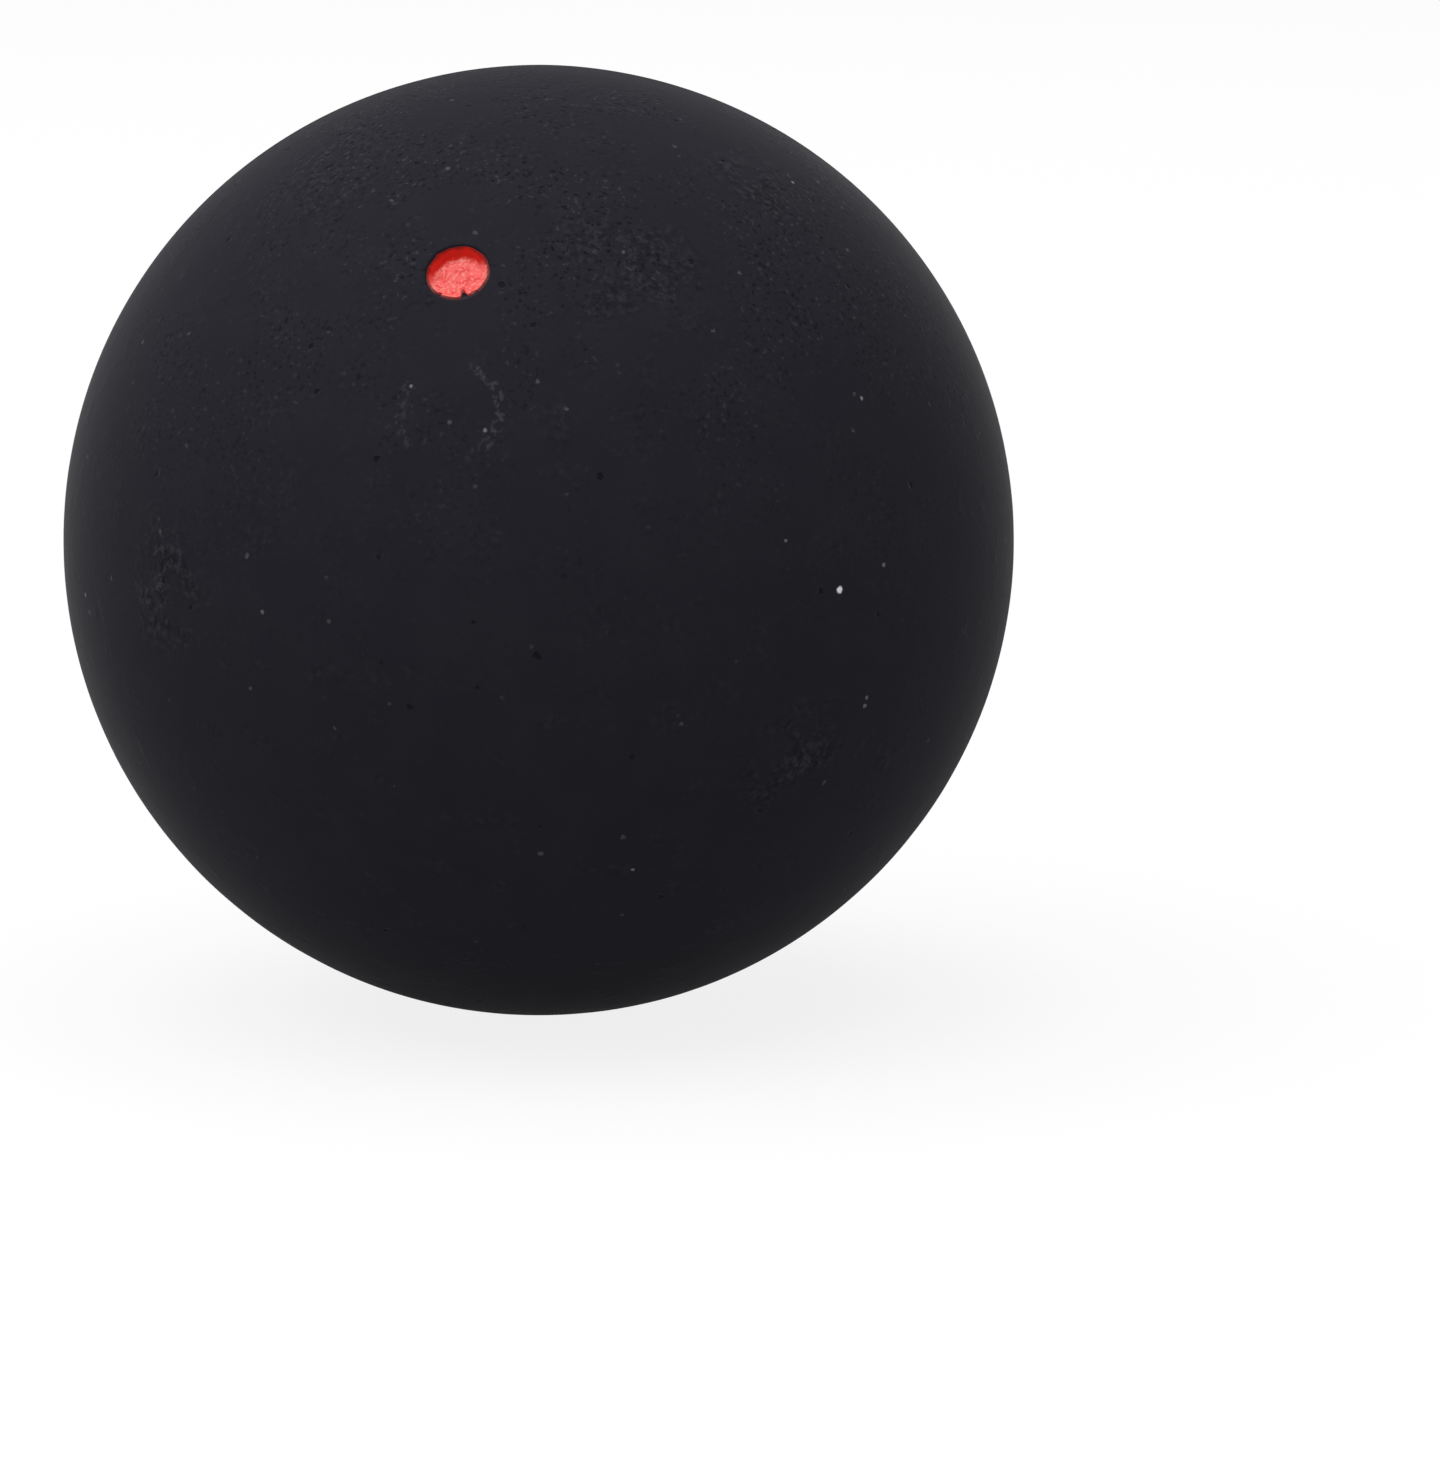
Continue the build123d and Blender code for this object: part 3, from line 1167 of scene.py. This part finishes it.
@dataclass
class PrintStripes:
    """Two plain stripes of ink across the back of the ball."""

    sizes: BallSizes
    span: float = 29.0 * MM  # a stripe's length, straight across
    height: float = 1.0 * MM  # a stripe's height
    pitch: float = 2.4 * MM  # from the middle of one stripe to the middle of the other
    ink: float = 0.03 * MM  # the film's thickness
    sunk: float = 0.04 * MM  # how far its hidden underside lies in the rubber
    ragged: float = 0.05 * MM  # how far its edges wander
    lump: float = 0.35 * MM  # the length of one wander
    seed: int = 59  # of the lower stripe's upper edge, one below its lower edge's
    seed_step: int = 4  # from the lower stripe's seeds to the upper stripe's
    dome_power: int = 6  # how flat the film is before it falls to its edges
    rows: int = 220  # sections along a stripe
    columns: int = 13  # points over the top of a section
    sharp_angle: float = math.radians(50.0)

    def stripe(self, middle: float, seed: int) -> bpy.types.Mesh:
        """One stripe.

        Args:
            middle: its height on the ball.
            seed: the seed of its upper edge, one below its lower edge's.

        Returns:
            A closed film over a slot with round ends: each section runs over the top, domed by
            1 - v^p from edge to edge, where p is the dome's power, and back along the underside.
        """
        end = self.height / 2
        along = -np.cos(np.linspace(0.0, np.pi, self.rows + 2))[1:-1] * self.span / 2
        past = np.maximum(np.abs(along) - (self.span / 2 - end), 0.0)
        half = np.sqrt(end**2 - past**2)
        over = np.linspace(-1.0, 1.0, self.columns)
        under = over[1:-1][::-1]
        across = np.concatenate((over, under))
        lift = np.concatenate((self.ink * (1 - over**self.dome_power), np.full(len(under), -self.sunk)))
        places = np.stack((along, np.full_like(along, middle), np.zeros_like(along)), axis=-1)
        upper, lower = (
            self.ragged * (LumpField(self.lump, number).at(places)[:, None] - 0.5)
            for number in (seed, seed + 1)
        )
        rings = np.zeros((self.rows, len(across), 3))
        rings[..., 0] = along[:, None]
        rings[..., 2] = middle + half[:, None] * across + np.where(across > 0, upper, lower) * np.abs(across)
        radius = self.sizes.radius + lift
        rings[..., 1] = np.sqrt(radius**2 - rings[..., 0] ** 2 - rings[..., 2] ** 2)
        tip_y = math.sqrt(self.sizes.radius**2 - self.span**2 / 4 - middle**2)
        tips = tuple(np.array((sign * self.span / 2, tip_y, middle)) for sign in (-1, 1))
        return RingSurface(rings, tips).mesh("stripe", self.sharp_angle)

    def build(self, finish: InkFinish) -> None:
        """Make both stripes as one piece and dress it."""
        middles = (-self.pitch / 2, self.pitch / 2)
        stripes = [
            self.stripe(middle, self.seed + number * self.seed_step)
            for number, middle in enumerate(middles)
        ]
        mesh = joined(stripes, "white_stripes")
        add_piece("white_stripes", mesh, finish.material(), "print_stripes")


# Studio


@dataclass(frozen=True)
class Studio:
    """Pale floor, white surround and soft light from above."""

    floor_height: float
    floor_reach: float = 4.0  # half the floor's side
    floor_colour: Colour = (0.56, 0.56, 0.56)  # as it lights the ball
    floor_white: Colour = (0.98, 0.98, 0.98)  # where the camera sees it
    whitening: float = 0.85  # how much of the floor the camera sees as plain white, without shading
    surround: float = 0.31  # the strength of the white surround as a light
    key_height: float = 1.5  # the soft light over the ball's centre
    key_forward: float = 0.25  # how far the light hangs towards the camera
    key_left: float = 0.35  # how far it hangs towards -X
    key_side: float = 2.2  # the side of the square light
    key_power: float = 33.0  # in watts

    def seen_share(self, shader: Shader) -> Value:
        """1 for rays that show the background: the camera's, mirrored and see-through ones."""
        path = shader.make("ShaderNodeLightPath")
        names = ("Is Camera Ray", "Is Glossy Ray", "Is Transmission Ray")
        return functools.reduce(Value.maximum, [Value(shader, path.outputs[name]) for name in names])

    def build_floor(self) -> None:
        """Add the floor, white to the camera but for its shadow."""
        material, shader = new_shader("pale_floor")
        seen = self.seen_share(shader)
        colour = shader.mix(seen, opaque(self.floor_colour), opaque(self.floor_white))
        matte = shader.node("ShaderNodeBsdfDiffuse", {}, {"Color": colour})
        white = shader.node("ShaderNodeEmission", {}, {"Strength": 1.0})
        surface = shader.node("ShaderNodeMixShader", {}, {0: seen * self.whitening, 1: matte, 2: white})
        shader.end_with(surface)
        corners = np.array(((-1, -1), (1, -1), (1, 1), (-1, 1))) * self.floor_reach
        points = np.column_stack((corners, np.full(4, self.floor_height)))
        mesh = bpy.data.meshes.new("floor")
        mesh.from_pydata(points.tolist(), [], [[0, 1, 2, 3]])
        mesh.materials.append(material)
        floor = bpy.data.objects.new("floor", mesh)
        bpy.context.scene.collection.objects.link(floor)

    def build_surround(self) -> None:
        """Make the world a white surround that lights the ball only softly."""
        world = bpy.data.worlds.new("white_surround")
        world.use_nodes = True
        shader = Shader(world.node_tree, "ShaderNodeOutputWorld")
        fill, white = (
            shader.node("ShaderNodeBackground", {}, {"Color": opaque(WHITE), "Strength": strength})
            for strength in (self.surround, 1.0)
        )
        surface = shader.node("ShaderNodeMixShader", {}, {0: self.seen_share(shader), 1: fill, 2: white})
        shader.end_with(surface)
        bpy.context.scene.world = world

    def build_key(self) -> None:
        """Hang the soft light over the ball, facing its centre."""
        data = bpy.data.lights.new("soft_light", "AREA")
        data.shape = "SQUARE"
        data.size = self.key_side
        data.energy = self.key_power
        light = bpy.data.objects.new("soft_light", data)
        place = Vector((-self.key_left, -self.key_forward, self.key_height))
        light.location = place
        light.rotation_euler = place.to_track_quat("Z", "Y").to_euler()
        bpy.context.scene.collection.objects.link(light)

    def build(self) -> None:
        """Build the floor, the surround and the light."""
        bpy.context.scene.view_settings.view_transform = "Standard"
        self.build_floor()
        self.build_surround()
        self.build_key()


def main() -> None:
    """Build the camera, the pieces and the studio in order."""
    logging.basicConfig(level=logging.INFO, format="%(name)s: %(message)s")
    sizes = BallSizes.from_frame()
    camera = PhotoCamera(sizes.radius)
    camera.build()
    recess = DotRecess(sizes)
    rubber = RubberFinish(camera).material()
    HalfShell(Half.FRONT, sizes, recess).build("dotted_half", rubber)
    HalfShell(Half.REAR, sizes).build("printed_half", rubber)
    SeamBond(sizes).build(CementFinish())
    DotPaint(recess).build()
    PrintStripes(sizes).build(InkFinish())
    Studio(floor_height=-sizes.radius).build()


if __name__ == "__main__":
    main()
